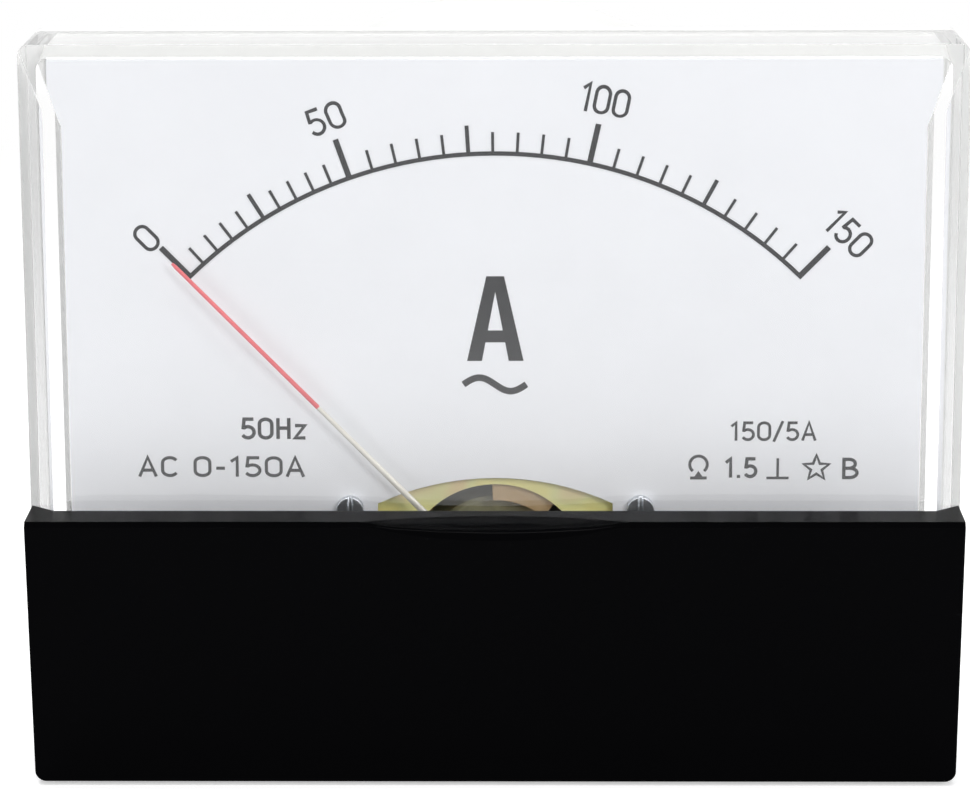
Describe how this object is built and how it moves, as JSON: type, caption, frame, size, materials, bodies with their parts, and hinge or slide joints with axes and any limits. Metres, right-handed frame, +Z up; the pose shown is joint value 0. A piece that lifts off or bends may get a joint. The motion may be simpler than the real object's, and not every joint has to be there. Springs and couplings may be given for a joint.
{
  "type": "analog panel meter",
  "caption": "Moving-coil panel meter with a clear bevelled front, white dial, long needle, black lower trim, round rear barrel, panel studs and rear terminals.",
  "frame": {"origin": "on the barrel axis, in the plane where the case flange seats on the panel", "axes": "+Y along the barrel, away from the face; +Z up the dial; +X to the right as seen from the front"},
  "size_m": [0.1, 0.082, 0.08],
  "materials": {
    "case_plastic": "satin",
    "clear_plastic": "clear gloss",
    "black_gloss": "high gloss",
    "black_plastic": "satin",
    "zinc_steel": "bright zinc",
    "white_enamel": "satin",
    "scale_ink": "matt print",
    "pointer_paint": "red paint at the tip, bright at the root",
    "yellow_chromate": "yellow chromate",
    "magnet_alloy": "ground",
    "brass": "turned",
    "bronze": "rolled strip",
    "bright_aluminium": "satin",
    "copper": "enamelled",
    "core_steel": "lacquered laminations",
    "bobbin_plastic": "satin",
    "board_laminate": "satin",
    "diode_body": "gloss",
    "resistor_body": "satin",
    "lead_cover": "satin"
  },
  "bodies": {
    "case": {"rear_case": "case_plastic", "clear_cover": "clear_plastic", "cover_screws": "zinc_steel", "mounting_studs": "zinc_steel", "dial_plate": "white_enamel", "dial_scale": "scale_ink", "dial_posts": "zinc_steel", "dial_screws": "zinc_steel", "yoke_ring": "yellow_chromate", "core_magnet": "magnet_alloy", "core_spacers": "brass", "movement_frame": "yellow_chromate", "movement_screws": "zinc_steel", "front_bridge": "brass", "rear_bridge": "brass", "bridge_pillars": "zinc_steel", "bridge_screws": "zinc_steel", "jewel_screws": "brass", "jewel_nuts": "brass", "rear_hairspring": "bronze", "spring_anchor": "brass", "pointer_stops": "black_plastic", "ct_core": "core_steel", "ct_bobbin": "bobbin_plastic", "ct_secondary": "copper", "ct_primary": "copper", "ct_bracket": "zinc_steel", "ct_screws": "zinc_steel", "rectifier_board": "board_laminate", "diodes": "diode_body", "calibration_resistor": "resistor_body", "board_screws": "zinc_steel", "terminal_studs": "brass", "terminal_washers": "brass", "terminal_nuts": "brass", "primary_leads": "copper", "signal_leads": "lead_cover"},
    "trim": {"trim_cover": "black_gloss"},
    "zero_screw": {"zero_adjuster": "black_plastic", "adjuster_clip": "zinc_steel"},
    "lever": {"zero_lever": "brass", "front_hairspring": "bronze"},
    "moving_coil": {"coil_former": "bright_aluminium", "coil_winding": "copper", "pivot_staffs": "zinc_steel", "pointer": "pointer_paint", "balance_weights": "brass"}
  },
  "joints": [
    {"name": "trim_cover_pull", "type": "slide", "parent": "case", "child": "trim", "axis": [0, -1, 0], "range_m": [0, 0.03]},
    {"name": "zero_screw_turn", "type": "hinge", "parent": "case", "child": "zero_screw", "pos_m": [0, -0.016, -0.0305], "axis": [0, 1, 0], "range_deg": [-40, 40]},
    {"name": "zero_lever_turn", "type": "hinge", "parent": "case", "child": "lever", "pos_m": [0, -0.0121, -0.0193], "axis": [0, 1, 0], "range_deg": [-3.4, 3.4]},
    {"name": "pointer_swing", "type": "hinge", "parent": "lever", "child": "moving_coil", "pos_m": [0, -0.0097, -0.0193], "axis": [0, 1, 0], "range_deg": [-3, 93], "stiffness_Nm_per_rad": 0.0003, "deforming": ["front_hairspring", "rear_hairspring"]}
  ],
  "couplings": [
    {"joint": "zero_lever_turn", "follows": "zero_screw_turn", "ratio": 0.08}
  ]
}
